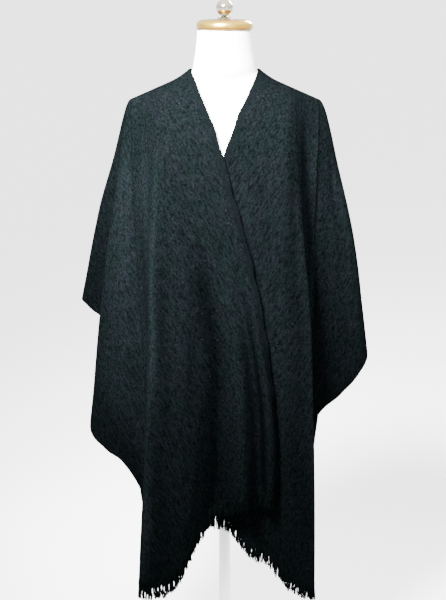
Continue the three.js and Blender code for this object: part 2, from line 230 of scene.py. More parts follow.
left_creases = [
    (0.8, 2.0, 0.14, 0.42, 0.5, 1.4),
    (2.6, 2.2, 0.2, 0.6, 0.45, -1.7),
    (4.4, 4.8, 0.1, 0.5, 0.35, 1.8),
    (5.3, 5.6, 0.14, 0.96, 0.4, -1.8),
    (6.4, 6.2, 0.2, 0.8, 0.4, 1.2),
    (7.4, 7.3, 0.12, 0.6, 0.4, -1.0),
    (3.4, 3.6, 0.62, 0.98, 0.35, -1.8),
    (1.5, 1.2, 0.66, 0.98, 0.35, 1.6),
    (8.0, 8.0, 0.06, 0.5, 0.6, 6.0),
    (8.6, 8.8, 0.2, 0.85, 0.4, 1.8),
    (10.6, 11.4, 0.24, 0.9, 0.5, -3.0),
    (12.4, 12.8, 0.2, 0.96, 0.5, 3.4),
    (13.6, 13.5, 0.3, 0.9, 0.4, -2.6),
    (15.4, 15.8, 0.3, 0.97, 0.45, 2.6),
    (17.6, 17.3, 0.3, 0.95, 0.4, -2.6),
    (19.4, 19.8, 0.3, 0.97, 0.5, 2.2),
    (24.3, 24.6, 0.2, 0.74, 0.4, -2.2),
    (26.6, 26.3, 0.34, 0.97, 0.35, 1.6),
    (28.5, 28.1, 0.16, 0.68, 0.4, -1.7),
    (30.3, 30.1, 0.36, 0.95, 0.35, 1.8),
]

# Painted light and shade on the wool: lighter on ridges and sides that catch the light and in folds
# whose shade is softened, darker in valleys and folds in shade. The same columns, with the change of
# tone in place of a height.
right_painted_light = [
    (6.95, 6.95, 0.12, 0.98, 0.2, 1.1),
    (6.4, 6.4, 0.3, 0.98, 0.3, -0.15),
    (7.8, 7.8, 0.1, 0.98, 0.5, 0.8),
    (4.25, 4.15, 0.34, 0.98, 0.5, -0.58),
    (3.1, 3.1, 0.4, 0.98, 0.4, 0.22),
    (1.55, 1.5, 0.5, 0.98, 0.28, -0.45),
    (0.4, 0.4, 0.4, 0.98, 0.45, 0.35),
    (11.0, 11.0, 0.1, 0.9, 1.8, 0.55),
]
left_painted_light = [
    (7.8, 7.9, 0.04, 0.6, 0.6, 1.0),
    (9.3, 9.4, 0.04, 0.6, 0.6, 0.7),
    (5.8, 6.0, 0.05, 0.9, 0.7, -0.34),
    (3.4, 3.4, 0.3, 0.98, 0.5, -0.12),
    (2.4, 2.4, 0.2, 0.98, 0.5, 0.12),
    (12.5, 12.5, 0.2, 0.98, 2.0, 0.35),
]

# Sections of the dress form: height, half width, depth to the front and to the back, side taper.
form_sections = [
    (772, 150, 86, 92, 0), (790, 156, 95, 102, 0), (830, 157, 98, 107, 0),
    (880, 146, 95, 100, 0), (940, 126, 87, 82, 0), (1000, 118, 85, 74, 0),
    (1070, 130, 94, 78, 0), (1140, 146, 102, 84, 0), (1200, 150, 100, 88, 0),
    (1250, 153, 90, 87, 0), (1285, 161, 76, 80, 0.1), (1306, 166, 64, 70, 0.2),
    (1320, 168, 54, 60, 0.3), (1330, 164, 50, 55, 0.4), (1345, 146.2, 48, 54, 0.5),
    (1362, 109.3, 48, 54, 0.6), (1372, 85.4, 50, 54, 0.7), (1379.4, 67.8, 54, 57, 0.4),
    (1388, 66, 55, 58, 0), (1410, 62, 53, 58, 0), (1440, 57.5, 53, 56, 0),
    (1467, 56, 54, 55, 0),
]


def smooth(value):
    """A soft step from 0 to 1."""
    held = min(1.0, max(0.0, value))
    return held * held * (3 - 2 * held)


def within(values):
    """The values, held between 0 and 1."""
    return np.clip(values, 0, 1)


def drop(t, crest):
    """The share of its height that a fold line has lost at the share t, turning over the crest."""
    return (t - crest * (1 - math.exp(-t / crest))) / (1 - crest * (1 - math.exp(-1 / crest)))


def fold_lines(front, side, hand):
    """Every fold line of one half, as dictionaries, with the softened foot of its upper cloth."""
    lines = []
    for _name, top, x, y, z, bow, start in front:
        lines.append(dict(panel="front", top=top, foot=(x, y, z, bow), start=start))
    for index, (_name, x, y, z, bow) in enumerate(side):
        spread = shoulder_end * (2 * index / (len(side) - 1) - 1)
        lines.append(dict(panel="side", top=1.0, foot=(x, y, z, bow), start=side_start,
                          spread=spread))
    for _name, top, x, y, z, reach, start in back_folds:
        lines.append(dict(panel="back", top=top, foot=(x * hand, y, z, 0), start=start,
                          reach=reach))
    feet = np.array([line["foot"] for line in lines], float)
    for index, line in enumerate(lines):
        near = [min(len(lines) - 1, max(0, index + step)) for step in (-2, -1, 0, 1, 2)]
        soft = np.average(feet[near], axis=0, weights=[1, 3, 4, 3, 1])
        line["soft"] = feet[index] if line["top"] == 0 else soft
        line["foot"] = feet[index]
        line["hand"] = hand
    return lines


def line_top(line):
    across = line["top"]
    return np.array([line["hand"] * (neck_half + (tip_half - neck_half) * across), 0.0,
                     neck_height + (tip_height - neck_height) * across])


def line_run(line, t):
    """How far one fold line has gone from its top at the share t of its length."""
    ripe = smooth((t - line["start"]) / fold_ripening)
    x, y, z, bow = line["soft"] + (line["foot"] - line["soft"]) * ripe
    top = line_top(line)
    held = 1 - smooth((line["top"] - chest_across) / chest_fade)
    if line["panel"] == "back":
        fall = drop(t, crest_front + (crest_back - crest_front) * held * held)
        reach = chest_reach + (blade_reach - chest_reach) * held * held
        push = shoulder_end + (blade_out - shoulder_end) * held
        out = push * (1 - t) * (1 - math.exp(-t / reach))
        across = smooth(t / line["reach"]) if line["reach"] < 1 else fall
        return np.array([(x - top[0]) * across, y * t + out, (z - top[2]) * fall])
    fall = drop(t, crest_front)
    rounded = (1 - t) * (1 - math.exp(-t / chest_reach))
    if line["panel"] == "side":
        root = math.sqrt(max(fall, 0.0))
        across = (x - top[0]) * fall + 4 * bow * root * (1 - root)
        return np.array([across, y * t + line["spread"] * rounded, (z - top[2]) * fall])
    across = (x - top[0]) * fall + 4 * bow * fall * (1 - fall)
    push = shoulder_end + (chest_out - shoulder_end) * held
    return np.array([across, y * t - push * rounded, (z - top[2]) * fall])


def between(points, place):
    """A point on the smooth curve through one row of fold points."""
    index = min(len(points) - 2, int(place))
    s = place - index
    b, c = points[index], points[index + 1]
    a = points[index - 1] if index > 0 else 2 * b - c
    d = points[index + 2] if index + 2 < len(points) else 2 * c - b
    return 0.5 * ((-s**3 + 2 * s**2 - s) * a + (3 * s**3 - 5 * s**2 + 2) * b
                  + (-3 * s**3 + 4 * s**2 + s) * c + (s**3 - s**2) * d)


def cloth_rows(lines):
    """The grid of one half: every row runs smoothly through the fold lines at one share of them."""
    columns = (len(lines) - 1) * columns_per_fold
    tops = np.array([line_top(line) for line in lines])
    grid = np.zeros((rows_down + 1, columns + 1, 3))
    for row in range(rows_down + 1):
        t = (row / rows_down) ** row_crowding
        runs = np.array([line_run(line, t) for line in lines])
        for column in range(columns + 1):
            place = column / columns_per_fold
            index = min(len(lines) - 2, int(place))
            top = tops[index] + (tops[index + 1] - tops[index]) * (place - index)
            grid[row, column] = top + between(runs, place)
    return grid


def grid_normals(grid, hand):
    """The way out from the form at every point of the grid."""
    down = np.gradient(grid, axis=0)
    across = np.gradient(grid, axis=1)
    normals = np.cross(down, across)
    length = np.linalg.norm(normals, axis=2, keepdims=True)
    normals = np.where(length > 1e-6, normals / np.maximum(length, 1e-6), 0)
    return normals * (1 if hand < 0 else -1)


def row_shares(rows):
    """The share of the length at which each row of the grid lies."""
    return ((np.arange(rows) / (rows - 1)) ** row_crowding)[:, None]


def column_places(columns):
    """The place of each column, counted in fold lines from the front edge."""
    return (np.arange(columns) / columns_per_fold)[None, :]


def soft_ridges(table, shape):
    """What the rows of one table add up to over the grid: heights for the creases, changes of tone
    for the painted light and shade. Each row wanders a little off its line and fades at both ends."""
    fade, wander = 0.12, 0.12
    t, place = row_shares(shape[0]), column_places(shape[1])
    total = np.zeros(shape)
    for start, end, high, low, width, tall in table:
        centre = start + (end - start) * within((t - high) / (low - high))
        along = within((t - high) / fade) * within((low + fade / 2 - t) / fade)
        sway = wander * np.sin(t * 17 + start * 3)
        total += tall * along * np.exp(-(((place - centre - sway) / width) ** 2))
    return total


def clear_selection():
    bpy.ops.object.select_all(action="DESELECT")


def make_active(piece):
    clear_selection()
    piece.select_set(True)
    bpy.context.view_layer.objects.active = piece


def mesh_piece(name, points, faces):
    mesh = bpy.data.meshes.new(name)
    mesh.from_pydata([tuple(p) for p in points], [], faces)
    mesh.update()
    piece = bpy.data.objects.new(name, mesh)
    bpy.context.scene.collection.objects.link(piece)
    return piece


def mid_wall(grid, normals, hand, creases):
    """The middle of one wall: its grid moved out and creased, with its front edge eased round the
    neck and, on the over panel, tucked back."""
    rows, columns = grid.shape[:2]
    t, place = row_shares(rows), column_places(columns)
    height = soft_ridges(creases, (rows, columns))
    height[:, -len(seam_furrow):] -= seam_furrow
    fade = within((t - crease_from) / crease_growth)
    middle = grid + normals * (shoulder_lift + hang_lift * fade + height * fade)[:, :, None]
    middle[0] = grid[0]
    ease = neck_ease * np.sin(np.pi * within(t / ease_down)) ** 1.3
    waves = sum(tall * np.sin(t * rate + start * hand) for tall, rate, start in edge_waves)
    sideways = ease + waves * within(t / waves_from)
    middle[:, :, 0] -= hand * sideways * within(1 - place / ease_lines) ** 2
    if hand < 0:
        tuck = within(t / tuck_down)
        back = edge_tuck * tuck * tuck * (3 - 2 * tuck)
        middle[:, :, 1] += back * within(1 - place / tuck_lines) ** 2
    beside_neck = within(1 - (np.abs(grid[0, :, 0]) - neck_half) / stand_across)[None, :] ** 2
    middle[:, :, 2] += neck_stand * beside_neck * np.exp(-t / stand_down)
    return middle


def way_over(middle, axis):
    """How far each point of the grid is from its first row or column, over the cloth, in metres."""
    steps = np.linalg.norm(np.diff(middle, axis=axis), axis=2)
    first = np.zeros_like(np.take(steps, [0], axis=axis))
    return np.concatenate([first, np.cumsum(steps, axis=axis)], axis=axis) * mm


def point_values(piece, name, values):
    layer = piece.data.attributes.new(name, "FLOAT", "POINT")
    layer.data.foreach_set("value", values.ravel().astype(np.float32))


def woven_half(name, middle, hand, nap_and_painted_light):
    """One woven half as a thin shell, thickened from its middle. Its points carry their way from
    the front edge and the tone of the painted light and shade, with painted shade towards the hem,
    for the wool."""
    rows, columns = middle.shape[:2]
    faces = []
    for row in range(rows - 1):
        for column in range(columns - 1):
            a = row * columns + column
            quad = (a, a + 1, a + 1 + columns, a + columns)
            faces.append(quad if hand > 0 else quad[::-1])
    piece = mesh_piece(name, middle.reshape(-1, 3) * mm, faces)
    point_values(piece, "from_edge", way_over(middle, 1))
    down = way_over(middle, 0)
    # Painted shade towards the hem: how far each point lies into the last stretch above the hem.
    painted_hem_shade_mask = within(1 - (down[-1][None, :] - down) / painted_hem_shade_over)
    # Painted light and shade from the table, held to its limits, then times the painted hem shade.
    painted_tone = np.clip(1 + soft_ridges(nap_and_painted_light, (rows, columns)), *painted_tone_limits)
    point_values(piece, "painted_light_and_shade", painted_tone * (1 - painted_hem_shade * painted_hem_shade_mask))
    make_active(piece)
    bpy.ops.object.mode_set(mode="EDIT")
    bpy.ops.mesh.select_all(action="SELECT")
    bpy.ops.mesh.remove_doubles(threshold=0.00005)
    bpy.ops.mesh.dissolve_degenerate(threshold=0.00002)
    bpy.ops.object.mode_set(mode="OBJECT")
    wall = piece.modifiers.new("wall", "SOLIDIFY")
    wall.thickness = cloth_thick * mm
    wall.offset = 0
    wall.use_even_offset = False
    bpy.ops.object.modifier_apply(modifier=wall.name)
    bpy.ops.object.shade_smooth_by_angle(angle=math.radians(60))
    return piece


def add_strand(points, faces, path, side_way, out_way, radii, sides):
    """One closed wool strand along a path, with its own thickness at each point of it."""
    base = len(points)
    for step, (centre, radius) in enumerate(zip(path, radii)):
        for side in range(sides):
            angle = side * 2 * math.pi / sides + strand_twist * step
            points.append(centre + side_way * radius * math.cos(angle)
                          + out_way * radius * math.sin(angle))
    for step in range(len(path) - 1):
        for side in range(sides):
            a = base + step * sides + side
            b = base + step * sides + (side + 1) % sides
            faces.append((a, b, b + sides, a + sides))
    last = base + (len(path) - 1) * sides
    faces.append(tuple(base + side for side in range(sides))[::-1])
    faces.append(tuple(last + side for side in range(sides)))


def strand_piece(name, points, faces):
    piece = mesh_piece(name, np.array(points) * mm, faces)
    make_active(piece)
    bpy.ops.object.mode_set(mode="EDIT")
    bpy.ops.mesh.select_all(action="SELECT")
    bpy.ops.mesh.normals_make_consistent(inside=False)
    bpy.ops.object.mode_set(mode="OBJECT")
    bpy.ops.object.shade_smooth()
    return piece


def fringe_strands(name, hem, outward, seed):
    """Twisted wool ends along one hem. They hang thick and tangled in small locks of much the same
    length, so light comes through only in small gaps near the hem."""
    rng = random.Random(seed)
    points, faces = [], []
    steps = np.linalg.norm(np.diff(hem, axis=0), axis=1)
    run = np.concatenate([[0], np.cumsum(steps)])
    count = int(run[-1] / strand_pitch)
    levels = 8
    lock_left = 0
    for strand in range(count):
        at = (strand + 0.5 + rng.uniform(*strand_place)) * run[-1] / count
        if lock_left == 0:
            lock_left = rng.randint(*lock_strands)
            lock_at = at + (lock_left / 2 + rng.uniform(*lock_middle)) * run[-1] / count
            lock_long = rng.uniform(*lock_length)
            lock_forwards = rng.uniform(*lock_swing)
        lock_left -= 1
        index = min(len(steps) - 1, int(np.searchsorted(run, at) - 1))
        share = (at - run[index]) / max(steps[index], 1e-6)
        root = hem[index] + (hem[index + 1] - hem[index]) * share
        normal = outward[index] + (outward[index + 1] - outward[index]) * share
        along = (hem[index + 1] - hem[index]) / max(steps[index], 1e-6)
        along = along * np.array([1, 1, 0])
        along = along / max(np.linalg.norm(along), 1e-6)
        length = lock_long * rng.uniform(*strand_length)
        lean = (lock_at - at) * rng.uniform(*strand_pull) + rng.uniform(*strand_lean)
        swing = lock_forwards + rng.uniform(*strand_swing)
        curl, wave = rng.uniform(0, 6.28), rng.uniform(*strand_wave)
        thick = rng.uniform(*strand_thick)
        path, radii = [], []
        for level in range(levels + 1):
            s = level / levels
            sway = math.sin(curl + 7 * s) - math.sin(curl)
            sideways = lean * s**1.2 + wave * sway * s
            forwards = swing * s**1.5 + 1.1 * math.cos(curl + 6 * s) * s
            fallen = np.array([0, 0, strand_top - length * s])
            path.append(root + fallen + along * sideways + normal * forwards)
            radii.append(thick * (1.45 - 0.45 * s - 0.4 * s**4))
        add_strand(points, faces, path, along, normal, radii, 4)
    return strand_piece(name, points, faces)


def nap_hairs(name, middle, normals, lean, count, seed):
    """Loose hairs brushed up out of the cloth: each lies along the lean of the nap and lifts off at
    its tip. The places are drawn by area, and none is taken in the first rows on the shoulder."""
    rng = random.Random(seed)
    points, faces = [], []
    columns = middle.shape[1]
    down = np.linalg.norm(np.diff(middle, axis=0), axis=2)
    across = np.linalg.norm(np.diff(middle, axis=1), axis=2)
    area = (down[:, :-1] * across[:-1]).ravel()
    draws = [rng.random() for _ in range(count)]
    for place in np.searchsorted(np.cumsum(area) / area.sum(), draws):
        row, column = divmod(int(min(place, len(area) - 1)), columns - 1)
        u, v = rng.random(), rng.random()
        corner = middle[row, column]
        step_down = middle[row + 1, column] - corner
        step_across = middle[row, column + 1] - corner
        normal = normals[row, column]
        if row < bare_rows or np.linalg.norm(normal) < 0.5:
            continue
        root = corner + step_down * v + step_across * u + normal * hair_root
        fall = step_down / max(np.linalg.norm(step_down), 1e-6)
        side = np.cross(normal, fall)
        turn = lean + rng.gauss(0, hair_stray)
        way = fall * math.cos(turn) + side * math.sin(turn)
        flat = np.cross(normal, way)
        length = rng.uniform(*hair_length)
        lift = rng.uniform(*hair_lift)
        bend = rng.uniform(*hair_bend)
        path, radii = [], []
        for s in (0, 0.5, 1):
            path.append(root + way * length * s + flat * bend * s * s + normal * lift * s**0.8)
            radii.append(hair_radius * (1 - 0.75 * s))
        add_strand(points, faces, path, flat, normal, radii, 3)
    return strand_piece(name, points, faces)


def seam_thread(name, seam, outward):
    """The stitches that join the two halves at the centre back: one thread laid to and fro."""
    points, faces = [], []
    steps = np.linalg.norm(np.diff(seam, axis=0), axis=1)
    run = np.concatenate([[0], np.cumsum(steps)])
    path = []
    for number in range(int((run[-1] - 2 * seam_end) / stitch) + 1):
        at = seam_end + number * stitch
        centre = np.array([np.interp(at, run, seam[:, axis]) for axis in range(3)])
        out = np.array([np.interp(at, run, outward[:, axis]) for axis in range(3)])
        side = stitch_reach if number % 2 else -stitch_reach
        path.append(np.array([side, 0, 0]) + centre * np.array([0, 1, 1]) + out)
    rise = outward[len(outward) // 2] * thread_rise
    upright, backwards = np.array([0, 0, 1.0]), np.array([0, 1.0, 0])
    for here, there in zip(path, path[1:]):
        bits = [here, here + (there - here) * 0.2 + rise, here + (there - here) * 0.8 + rise, there]
        add_strand(points, faces, bits, upright, backwards, thread_radii, 5)
    return strand_piece(name, points, faces)


def dress_form():
    """The jersey-covered form: one ring extruded up through the sections, then rounded."""
    around = 48
    foot_height = form_sections[0][0]
    clear_selection()
    bpy.ops.mesh.primitive_circle_add(vertices=around, radius=0.1, fill_type="NOTHING",
                                      location=(0, 0, foot_height * mm))
    piece = bpy.context.object
    piece.name = "form_cover"
    bpy.ops.object.mode_set(mode="EDIT")
    bpy.ops.mesh.select_all(action="SELECT")
    for low, high in zip(form_sections, form_sections[1:]):
        step = (0, 0, (high[0] - low[0]) * mm)
        bpy.ops.mesh.extrude_region_move(TRANSFORM_OT_translate={"value": step})
    bpy.ops.object.mode_set(mode="OBJECT")
    bpy.ops.object.transform_apply(location=True, rotation=True, scale=True)
    for point in piece.data.vertices:
        nearest = min(form_sections, key=lambda section: abs(section[0] * mm - point.co.z))
        _height, half, front, back, taper = nearest
        angle = math.atan2(point.co.y, point.co.x)
        depth = front if math.sin(angle) < 0 else back
        thin = abs(math.sin(angle)) ** taper * math.sin(angle)
        point.co.x = (half - cover_inset) * math.cos(angle) * mm
        point.co.y = (depth - cover_inset) * thin * mm
    for rim in (form_sections[0], form_sections[-1]):
        rim_height = rim[0] * mm
        make_active(piece)
        for edge in piece.data.edges:
            edge.select = all(abs(piece.data.vertices[v].co.z - rim_height) < 1e-5
                              for v in edge.vertices)
        for face in piece.data.polygons:
            face.select = False
        for point in piece.data.vertices:
            point.select = abs(point.co.z - rim_height) < 1e-5
        bpy.ops.object.mode_set(mode="EDIT")
        bpy.ops.mesh.select_mode(type="VERT")
        for size in (0.97, 0.6, 0.2):
            bpy.ops.mesh.extrude_region_move(TRANSFORM_OT_translate={"value": (0, 0, 0)})
            bpy.ops.transform.resize(value=(size, size, 1), center_override=(0, 0, rim_height))
        bpy.ops.mesh.edge_face_add()
        bpy.ops.object.mode_set(mode="OBJECT")
    make_active(piece)
    bpy.ops.object.mode_set(mode="EDIT")
    bpy.ops.mesh.select_all(action="SELECT")
    bpy.ops.mesh.normals_make_consistent(inside=False)
    bpy.ops.object.mode_set(mode="OBJECT")
    return piece


def turned_piece(name, profile, steps=64):
    """A lathe piece: one point extruded along the profile, then spun round the pole's axis."""
    clear_selection()
    bpy.ops.mesh.primitive_plane_add(size=0.01, location=(0, 0, 0))
    piece = bpy.context.object
    piece.name = name
    bpy.ops.object.mode_set(mode="EDIT")
    bpy.ops.mesh.select_all(action="SELECT")
    bpy.ops.mesh.merge(type="CENTER")
    first = profile[0]
    bpy.ops.transform.translate(value=(first[0] * mm, 0, first[1] * mm))
    for here, there in zip(profile, profile[1:]):
        step = ((there[0] - here[0]) * mm, 0, (there[1] - here[1]) * mm)
        bpy.ops.mesh.extrude_region_move(TRANSFORM_OT_translate={"value": step})
    bpy.ops.mesh.select_all(action="SELECT")
    bpy.ops.mesh.spin(steps=steps, angle=2 * math.pi, center=(0, 0, 0), axis=(0, 0, 1))
    bpy.ops.mesh.select_all(action="SELECT")
    bpy.ops.mesh.remove_doubles(threshold=0.00002)
    bpy.ops.mesh.normals_make_consistent(inside=False)
    bpy.ops.object.mode_set(mode="OBJECT")
    bpy.ops.object.transform_apply(location=True, rotation=True, scale=True)
    bpy.ops.object.shade_smooth_by_angle(angle=math.radians(38))
    return piece


def node(tree, kind, place=(0, 0), values=None, **settings):
    """One node of a material, with its settings and the constant values of its sockets."""
    made = tree.nodes.new(kind)
    made.location = place
    for key, setting in settings.items():
        setattr(made, key, setting)
    for socket, value in (values or {}).items():
        made.inputs[socket].default_value = value
    return made


def new_material(name):
    material = bpy.data.materials.new(name)
    material.use_nodes = True
    tree = material.node_tree
    tree.nodes.clear()
    out = node(tree, "ShaderNodeOutputMaterial", (900, 0))
    shader = node(tree, "ShaderNodeBsdfPrincipled", (600, 0))
    tree.links.new(shader.outputs["BSDF"], out.inputs["Surface"])
    return material, tree, shader


def noise(tree, coordinates, place, scale, **more):
    """A noise over the piece, with its scale and any other of its sockets by name."""
    made = node(tree, "ShaderNodeTexNoise", place, {"Scale": scale, **more})
    tree.links.new(coordinates, made.inputs["Vector"])
    return made


def colour_ramp(tree, place, fac, *stops):
    """A colour ramp: each stop is its place and its colour. The first and the last stop take over
    the two that a new ramp has."""
    made = node(tree, "ShaderNodeValToRGB", place)
    elements = made.color_ramp.elements
    for index, (spot, colour) in ((0, stops[0]), (1, stops[-1])):
        elements[index].position = spot
        elements[index].color = (*colour, 1)
    for spot, colour in stops[1:-1]:
        elements.new(spot).color = (*colour, 1)
    tree.links.new(fac, made.inputs["Fac"])
    return made


def combed_noise(tree, coordinates, lean, width, length, height):
    """Noise drawn out along one lean of the hairs; width and length are in metres."""
    combed = node(tree, "ShaderNodeMapping", (-1300, height),
                  {"Rotation": (0, lean, 0), "Scale": (width, width, length)},
                  vector_type="TEXTURE")
    tree.links.new(coordinates, combed.inputs["Vector"])
    return noise(tree, combed.outputs["Vector"], (-1080, height), 1.0, Detail=3.0, Roughness=0.6)


def selvedge_relief(tree, relief):
    """The relief of the wool, smoother in its first centimetre from the front edge and ribbed
    there by the weave."""
    link = tree.links.new
    strip_from, strip_to, rib_pitch = 0.010, 0.016, 0.0026
    edge = node(tree, "ShaderNodeAttribute", (-1500, 700), attribute_name="from_edge")
    inward = node(tree, "ShaderNodeMapRange", (-1080, 700),
                  {"From Min": strip_from, "From Max": strip_to, "To Min": 0.4})
    link(edge.outputs["Fac"], inward.inputs["Value"])
    spaced = node(tree, "ShaderNodeMath", (-1280, 900), {1: 2 * math.pi / rib_pitch},
                  operation="MULTIPLY")
    link(edge.outputs["Fac"], spaced.inputs[0])
    ribs = node(tree, "ShaderNodeMath", (-1080, 900), operation="SINE")
    link(spaced.outputs["Value"], ribs.inputs[0])
    rib_height = node(tree, "ShaderNodeMapRange", (-880, 900),
                      {"From Min": -1.0, "To Min": 0.44, "To Max": 0.54})
    link(ribs.outputs["Value"], rib_height.inputs["Value"])
    woven = node(tree, "ShaderNodeMix", (-680, 500), data_type="FLOAT")
    link(inward.outputs["Result"], woven.inputs["Factor"])
    link(rib_height.outputs["Result"], woven.inputs["A"])
    link(relief, woven.inputs["B"])
    return woven.outputs["Result"]


def kemp_flecks(tree, coordinates, mottle, colour):
    """A few pale, faint flecks of kemp, where the mottling is high."""
    link = tree.links.new
    fleck = node(tree, "ShaderNodeTexVoronoi", (-1080, -600), {"Scale": 120.0})
    link(coordinates, fleck.inputs["Vector"])
    fleck_here = node(tree, "ShaderNodeMath", (-800, -600), {1: 0.12}, operation="LESS_THAN")
    link(fleck.outputs["Distance"], fleck_here.inputs[0])
    rare = node(tree, "ShaderNodeMath", (-800, -760), {1: 0.55}, operation="GREATER_THAN")
    link(mottle, rare.inputs[0])
    few = node(tree, "ShaderNodeMath", (-620, -640), operation="MULTIPLY")
    link(fleck_here.outputs["Value"], few.inputs[0])
    link(rare.outputs["Value"], few.inputs[1])
    faint = node(tree, "ShaderNodeMath", (-460, -640), {1: 0.12}, operation="MULTIPLY")
    link(few.outputs["Value"], faint.inputs[0])
    flecked = node(tree, "ShaderNodeMix", (-120, 60), data_type="RGBA")
    flecked.inputs["B"].default_value = (0.03, 0.045, 0.05, 1)
    link(faint.outputs["Value"], flecked.inputs["Factor"])
    link(colour, flecked.inputs["A"])
    return flecked.outputs["Result"]


def brushed_wool(name, lean, dark, light, selvedge=False):
    """Brushed charcoal wool: hairs combed along one lean, cool mottling, pale flecks. The woven
    halves also have a selvedge, and painted light and shade, lighter and darker from place to place."""
    material, tree, shader = new_material(name)
    link = tree.links.new
    place = node(tree, "ShaderNodeTexCoord", (-1500, 0)).outputs["Object"]
    locks = combed_noise(tree, place, lean, width=0.0034, length=0.019, height=160)
    hairs = combed_noise(tree, place, lean * 0.7, width=0.0014, length=0.009, height=420)
    nap_and_painted_light = noise(tree, place, (-1080, -120), 230.0, Detail=3.0)
    mottle = noise(tree, place, (-1080, -360), 26.0, Detail=5.0, Roughness=0.65)
    both = node(tree, "ShaderNodeMix", (-900, 260), {"Factor": 0.42}, data_type="FLOAT")
    link(locks.outputs["Fac"], both.inputs["A"])
    link(hairs.outputs["Fac"], both.inputs["B"])
    pile = node(tree, "ShaderNodeMix", (-760, 160), {"Factor": 0.3}, data_type="FLOAT")
    link(both.outputs["Result"], pile.inputs["A"])
    link(nap_and_painted_light.outputs["Fac"], pile.inputs["B"])
    relief = pile.outputs["Result"]
    if selvedge:
        relief = selvedge_relief(tree, relief)
    tone = colour_ramp(tree, (-600, 160), relief, (0.4, dark), (0.6, light))
    wool_colour = tone.outputs["Color"]
    # Painted light and shade: on the woven halves the wool's colour is scaled by the painted tone of
    # each point.
    if selvedge:
        painted_tone = node(tree, "ShaderNodeAttribute", (-600, 400), attribute_name="painted_light_and_shade")
        shaded = node(tree, "ShaderNodeVectorMath", (-320, 300), operation="SCALE")
        link(wool_colour, shaded.inputs["Vector"])
        link(painted_tone.outputs["Fac"], shaded.inputs["Scale"])
        wool_colour = shaded.outputs["Vector"]
    cast = colour_ramp(tree, (-800, -360), mottle.outputs["Fac"],
                       (0.4, (0.84, 1.0, 0.95)), (0.6, (1.08, 0.98, 1.12)))
    tinted = node(tree, "ShaderNodeMix", (-320, 60), {"Factor": 0.8}, data_type="RGBA",
                  blend_type="MULTIPLY")
    link(wool_colour, tinted.inputs["A"])
    link(cast.outputs["Color"], tinted.inputs["B"])
    flecked = kemp_flecks(tree, place, mottle.outputs["Fac"], tinted.outputs["Result"])
    link(flecked, shader.inputs["Base Color"])
    bump = node(tree, "ShaderNodeBump", (-300, -200), {"Strength": 0.9, "Distance": 0.0022})
    link(relief, bump.inputs["Height"])
    link(bump.outputs["Normal"], shader.inputs["Normal"])
    shader.inputs["Roughness"].default_value = 0.95
    shader.inputs["Specular IOR Level"].default_value = 0.0
    return material


def jersey_cover():
    """White jersey on the form: fine knit columns with a faint warm unevenness."""
    material, tree, shader = new_material("form_cover")
    link = tree.links.new
    place = node(tree, "ShaderNodeTexCoord", (-1100, 0)).outputs["Object"]
    knit = node(tree, "ShaderNodeTexWave", (-800, 100), {"Scale": 240.0, "Distortion": 1.2},
                wave_type="BANDS", bands_direction="X")
    link(place, knit.inputs["Vector"])
    cloud = noise(tree, place, (-800, -160), 9.0, Detail=3.0)
    tone = colour_ramp(tree, (-500, -160), cloud.outputs["Fac"],
                       (0.0, (0.69, 0.65, 0.635)), (1.0, (0.77, 0.755, 0.74)))
    link(tone.outputs["Color"], shader.inputs["Base Color"])
    bump = node(tree, "ShaderNodeBump", (-300, -300), {"Strength": 0.12, "Distance": 0.0004})
    link(knit.outputs["Fac"], bump.inputs["Height"])
    link(bump.outputs["Normal"], shader.inputs["Normal"])
    shader.inputs["Roughness"].default_value = 0.85
    shader.inputs["Sheen Weight"].default_value = 0.15
    shader.inputs["Sheen Roughness"].default_value = 0.5
    return material


def worn_metal(tree, wear, shader, least, most):
    """Bare metal, rougher where it is worn, between two roughnesses."""
    rough = node(tree, "ShaderNodeMapRange", (-400, -200), {"To Min": least, "To Max": most})
    tree.links.new(wear.outputs["Fac"], rough.inputs["Value"])
    tree.links.new(rough.outputs["Result"], shader.inputs["Roughness"])
    shader.inputs["Metallic"].default_value = 1.0


def polished_brass():
    """Polished brass of the cap, with painted dark reflections that make it browner towards its foot
    and its top.
    """
    material, tree, shader = new_material("polished_brass")
    link = tree.links.new
    foot_height, top_height = 1.4674, 1.488
    place = node(tree, "ShaderNodeTexCoord", (-900, 0)).outputs["Object"]
    wear = noise(tree, place, (-650, 0), 60.0, Detail=4.0)
    tone = colour_ramp(tree, (-400, 60), wear.outputs["Fac"],
                       (0.0, (0.58, 0.36, 0.045)), (1.0, (0.76, 0.54, 0.1)))
    parts = node(tree, "ShaderNodeSeparateXYZ", (-650, 260))
    link(place, parts.inputs["Vector"])
    height = node(tree, "ShaderNodeMapRange", (-480, 260),
                  {"From Min": foot_height, "From Max": top_height})
    link(parts.outputs["Z"], height.inputs["Value"])
    # Painted reflection: brown bands darken the cap at its foot and its top.
    painted_reflection = colour_ramp(tree, (-300, 260), height.outputs["Result"],
                          (0.0, (0.3, 0.18, 0.1)), (0.14, (0.55, 0.38, 0.25)), (0.3, (1, 1, 1)),
                          (0.62, (1, 1, 1)), (1.0, (0.6, 0.42, 0.28)))
    tone_with_painted_reflection = node(tree, "ShaderNodeMix", (-100, 160), {"Factor": 1.0}, data_type="RGBA",
                blend_type="MULTIPLY")
    link(tone.outputs["Color"], tone_with_painted_reflection.inputs["A"])
    link(painted_reflection.outputs["Color"], tone_with_painted_reflection.inputs["B"])
    link(tone_with_painted_reflection.outputs["Result"], shader.inputs["Base Color"])
    worn_metal(tree, wear, shader, 0.16, 0.34)
    return material


